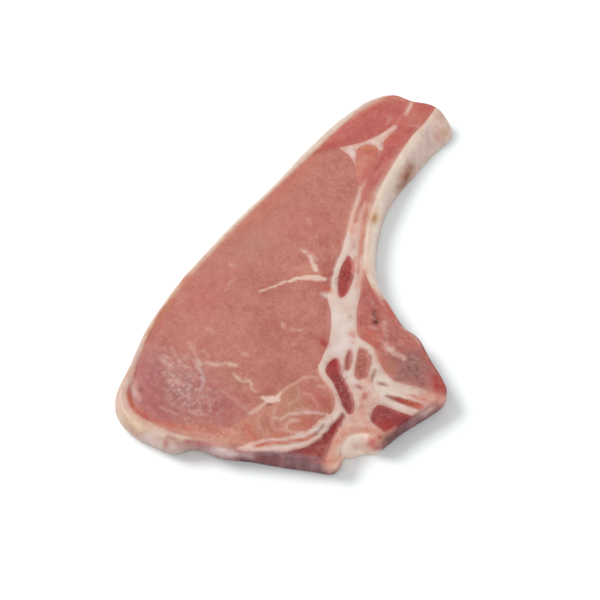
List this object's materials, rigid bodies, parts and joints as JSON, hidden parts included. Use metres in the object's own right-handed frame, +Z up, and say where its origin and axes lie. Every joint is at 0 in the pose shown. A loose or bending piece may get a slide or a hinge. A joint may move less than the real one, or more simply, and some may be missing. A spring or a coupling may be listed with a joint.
{
  "type": "raw veal chop",
  "caption": "Raw bone-in veal loin chop, lying flat: large eye muscle, flank tail, fat rim, cut vertebra and rib, fillet at the side.",
  "frame": {"origin": "middle of the chop's box in plan, on the flat underside", "axes": "+Y along the chop from the backbone end to the tip of the flank, +X towards the sawn vertebra, +Z up through the thickness"},
  "size_m": [0.1354, 0.2264, 0.0137],
  "materials": {
    "lean": "moist raw lean meat, dusky pink, fine grained",
    "cap_lean": "moist raw lean meat, redder",
    "pale_lean": "moist raw lean meat, salmon to tan",
    "dark_lean": "moist raw lean meat, darker, greyish towards its corner",
    "fat": "soft cream fat, faintly waxy",
    "membrane": "pale membrane over fat, greyish pink on its side",
    "bone": "sawn bone and gristle, pinkish white",
    "marrow": "spongy red marrow, moist",
    "pale_marrow": "spongy brown-red marrow"
  },
  "bodies": {
    "root": {"loin_muscle": "lean", "cap_muscle": "cap_lean", "flank_lobe": "pale_lean", "flank_strip": "cap_lean", "multifidus_muscle": "pale_lean", "fillet_muscle": "dark_lean", "back_fat": "fat", "flank_seam_fat": "fat", "cavity_fat": "membrane", "canal_lining": "membrane", "vertebra": "bone", "rib_marrow": "marrow", "lamina_marrow": "marrow", "spine_marrow": "marrow", "body_marrow": "marrow", "transverse_marrow": "pale_marrow", "facet_marrow": "pale_marrow", "disc_tissue": "pale_marrow"}
  },
  "joints": []
}
